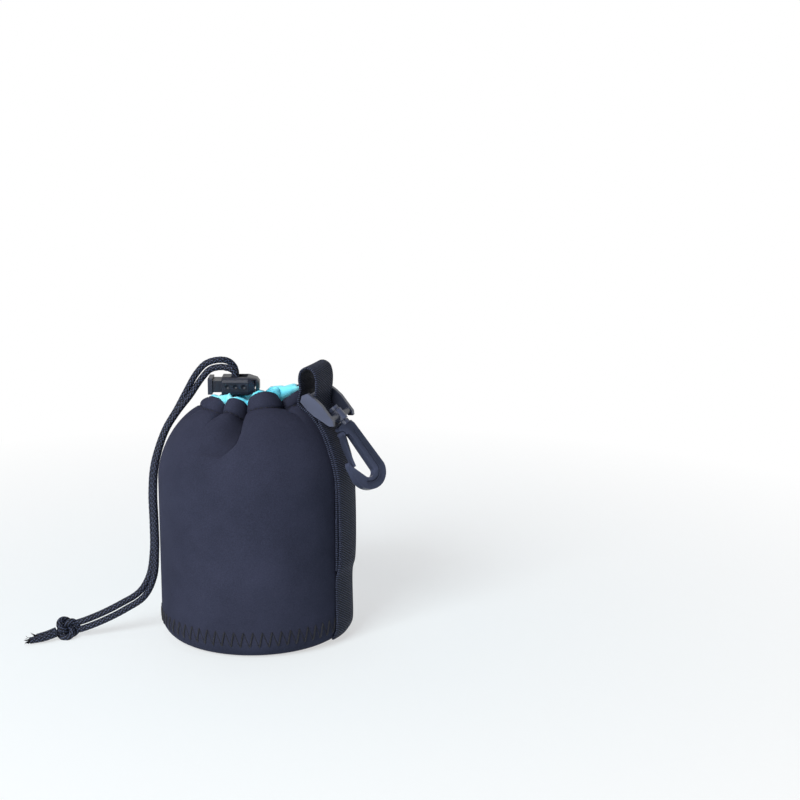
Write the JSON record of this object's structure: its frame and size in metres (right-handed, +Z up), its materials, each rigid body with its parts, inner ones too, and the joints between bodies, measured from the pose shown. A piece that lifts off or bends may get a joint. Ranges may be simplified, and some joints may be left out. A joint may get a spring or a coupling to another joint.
{
  "type": "lens pouch",
  "caption": "Round padded drawstring pouch for a camera lens, with a pleated neck, cord lock, side webbing with a hanging loop, and a swivel hook.",
  "frame": {"origin": "centre of the flat underside of the base, on the ground plane", "axes": "+Z up along the pouch's axis; -Y is the side seen from the front; the webbing strap is 70 degrees round from -Y towards +X; the drawcord hangs on the -X side"},
  "size_m": [0.1664, 0.0899, 0.131],
  "materials": {
    "neoprene": "matt knit face on foam",
    "lining": "soft brushed knit",
    "webbing": "ribbed weave",
    "cord": "round braid",
    "lock_plastic": "satin moulded",
    "hook_plastic": "satin moulded",
    "spring_steel": "bright drawn wire"
  },
  "bodies": {
    "pouch": {"base_panel": "neoprene", "base_lining": "lining", "wall_panel": "neoprene", "wall_lining": "lining", "webbing_strap": "webbing", "hem_cord": "cord", "cord_lead_a": "cord", "cord_lead_b": "cord", "cord_knot": "cord", "cord_tail_a": "cord", "cord_tail_b": "cord"},
    "lock": {"lock_body": "lock_plastic", "lock_spring": "spring_steel"},
    "plunger": {"lock_plunger": "lock_plastic"},
    "frame": {"hook_frame": "hook_plastic"},
    "hook": {"hook_body": "hook_plastic"},
    "gate": {"hook_gate": "hook_plastic"}
  },
  "joints": [
    {"name": "lock_slide", "type": "slide", "parent": "pouch", "child": "lock", "axis": [0, 0, 1], "range_m": [0, 0.0008]},
    {"name": "plunger_press", "type": "slide", "parent": "lock", "child": "plunger", "axis": [1, 0, 0], "range_m": [0, 0.004], "stiffness_N_per_m": 500, "springref_m": -0.002, "deforming": ["lock_spring"]},
    {"name": "frame_swing", "type": "hinge", "parent": "pouch", "child": "frame", "pos_m": [0.02988, -0.01088, 0.1165], "axis": [-0.342, -0.9397, 0], "range_deg": [0, 80]},
    {"name": "hook_swivel", "type": "hinge", "parent": "frame", "child": "hook", "pos_m": [0.04022, -0.01464, 0.1073], "axis": [0.6409, -0.2333, -0.7314], "continuous": true},
    {"name": "gate_press", "type": "hinge", "parent": "hook", "child": "gate", "pos_m": [0.0413, -0.01883, 0.09916], "axis": [0.4897, -0.7886, 0.3719], "range_deg": [0, 20], "stiffness_Nm_per_rad": 0.05, "springref_deg": -2.86}
  ]
}
